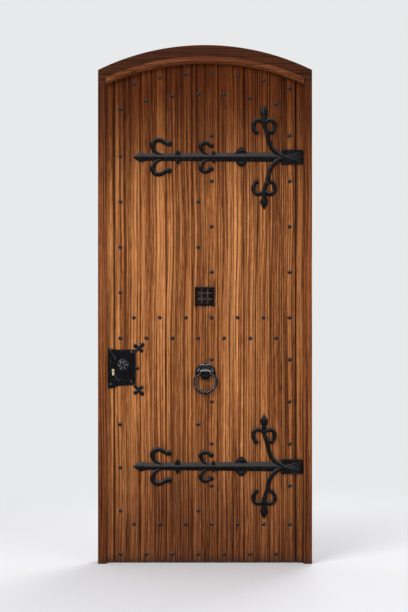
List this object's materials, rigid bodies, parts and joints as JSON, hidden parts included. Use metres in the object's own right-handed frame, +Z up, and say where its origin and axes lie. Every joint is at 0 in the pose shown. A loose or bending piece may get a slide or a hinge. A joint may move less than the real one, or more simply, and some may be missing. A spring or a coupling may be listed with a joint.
{
  "type": "arched plank door in its frame",
  "caption": "Arched plank entrance door in its timber frame, with scrolled strap ironwork, forged nails, a ring knocker, a barred peephole and a lock.",
  "frame": {"origin": "on the sill line under the jambs' feet, in the middle of the opening, on the street face of the frame", "axes": "+X to the right seen from the street, towards the hinge side; +Y from the street to the inside; +Z up"},
  "size_m": [1.04, 0.153, 2.5209],
  "materials": {
    "oak_boards": "oiled, weathered darker towards the foot and under the arch",
    "oak_backing": "oiled",
    "oak_jambs": "stained reddish brown, weathered",
    "oak_head": "dark stained",
    "black_iron": "blacked, worn bright on raised edges",
    "cast_iron": "blacked, worn on raised parts",
    "steel": "dull",
    "brass": "satin, slightly tarnished"
  },
  "bodies": {
    "frame": {"jamb_left": "oak_jambs", "jamb_right": "oak_jambs", "frame_head": "oak_head", "facing_left": "oak_jambs", "facing_right": "oak_jambs", "facing_head": "oak_head", "head_moulding": "oak_head", "strike_plate": "steel", "jamb_hinge_plates": "steel"},
    "leaf": {"board_1": "oak_boards", "board_2": "oak_boards", "board_3": "oak_boards", "board_4": "oak_boards", "board_5": "oak_boards", "board_6": "oak_boards", "board_7": "oak_boards", "lock_edge_board": "oak_boards", "hinge_edge_board": "oak_boards", "board_nails": "black_iron", "lock_stile": "oak_backing", "hinge_stile": "oak_backing", "top_rail": "oak_backing", "middle_rail": "oak_backing", "bottom_rail": "oak_backing", "upper_muntin": "oak_backing", "lower_muntin": "oak_backing", "leaf_hinge_plates": "steel", "upper_strap": "black_iron", "lower_strap": "black_iron", "lock_plate": "black_iron", "lock_faceplate": "steel", "lock_case": "steel", "cylinder_body": "brass", "inside_escutcheon": "brass", "pull_knob_outside": "black_iron", "pull_knob_inside": "brass", "knob_spindle": "steel", "knocker_mask": "cast_iron", "knocker_stud": "black_iron", "knocker_bolts": "black_iron", "judas_grille_frame": "black_iron", "judas_grille_bars": "black_iron", "judas_flap_frame": "oak_backing", "flap_hinge_frame_plate": "brass", "turn_button_screw": "steel"},
    "deadbolt": {"deadbolt": "steel"},
    "cylinder_core": {"cylinder_plug": "brass", "cylinder_cam": "steel", "thumb_turn": "brass"},
    "knocker_ring": {"knocker_ring": "cast_iron"},
    "judas_flap": {"judas_flap": "oak_backing", "flap_hinge_flap_plate": "brass", "flap_knob": "brass"},
    "turn_button": {"turn_button": "brass"}
  },
  "joints": [
    {"name": "leaf_swing", "type": "hinge", "parent": "frame", "child": "leaf", "pos_m": [0.4895, 0.091, 1.2], "axis": [0, 0, -1], "range_deg": [0, 105]},
    {"name": "thumb_turning", "type": "hinge", "parent": "leaf", "child": "cylinder_core", "pos_m": [-0.44774, 0.0645, 0.94], "axis": [0, 1, 0], "range_deg": [0, 360]},
    {"name": "bolt_throw", "type": "slide", "parent": "leaf", "child": "deadbolt", "axis": [-1, 0, 0], "range_m": [0, 0.02]},
    {"name": "ring_lift", "type": "hinge", "parent": "leaf", "child": "knocker_ring", "pos_m": [0.002, 0.008, 0.929], "axis": [-1, 0, 0], "range_deg": [0, 85]},
    {"name": "flap_swing", "type": "hinge", "parent": "leaf", "child": "judas_flap", "pos_m": [0.043, 0.0979, 1.302], "axis": [0, 0, -1], "range_deg": [0, 110]},
    {"name": "button_turning", "type": "hinge", "parent": "leaf", "child": "turn_button", "pos_m": [-0.054, 0.097, 1.302], "axis": [0, 1, 0], "range_deg": [0, 90]}
  ],
  "couplings": [
    {"joint": "thumb_turning", "follows": "bolt_throw", "rad_per_m": 314.16}
  ]
}
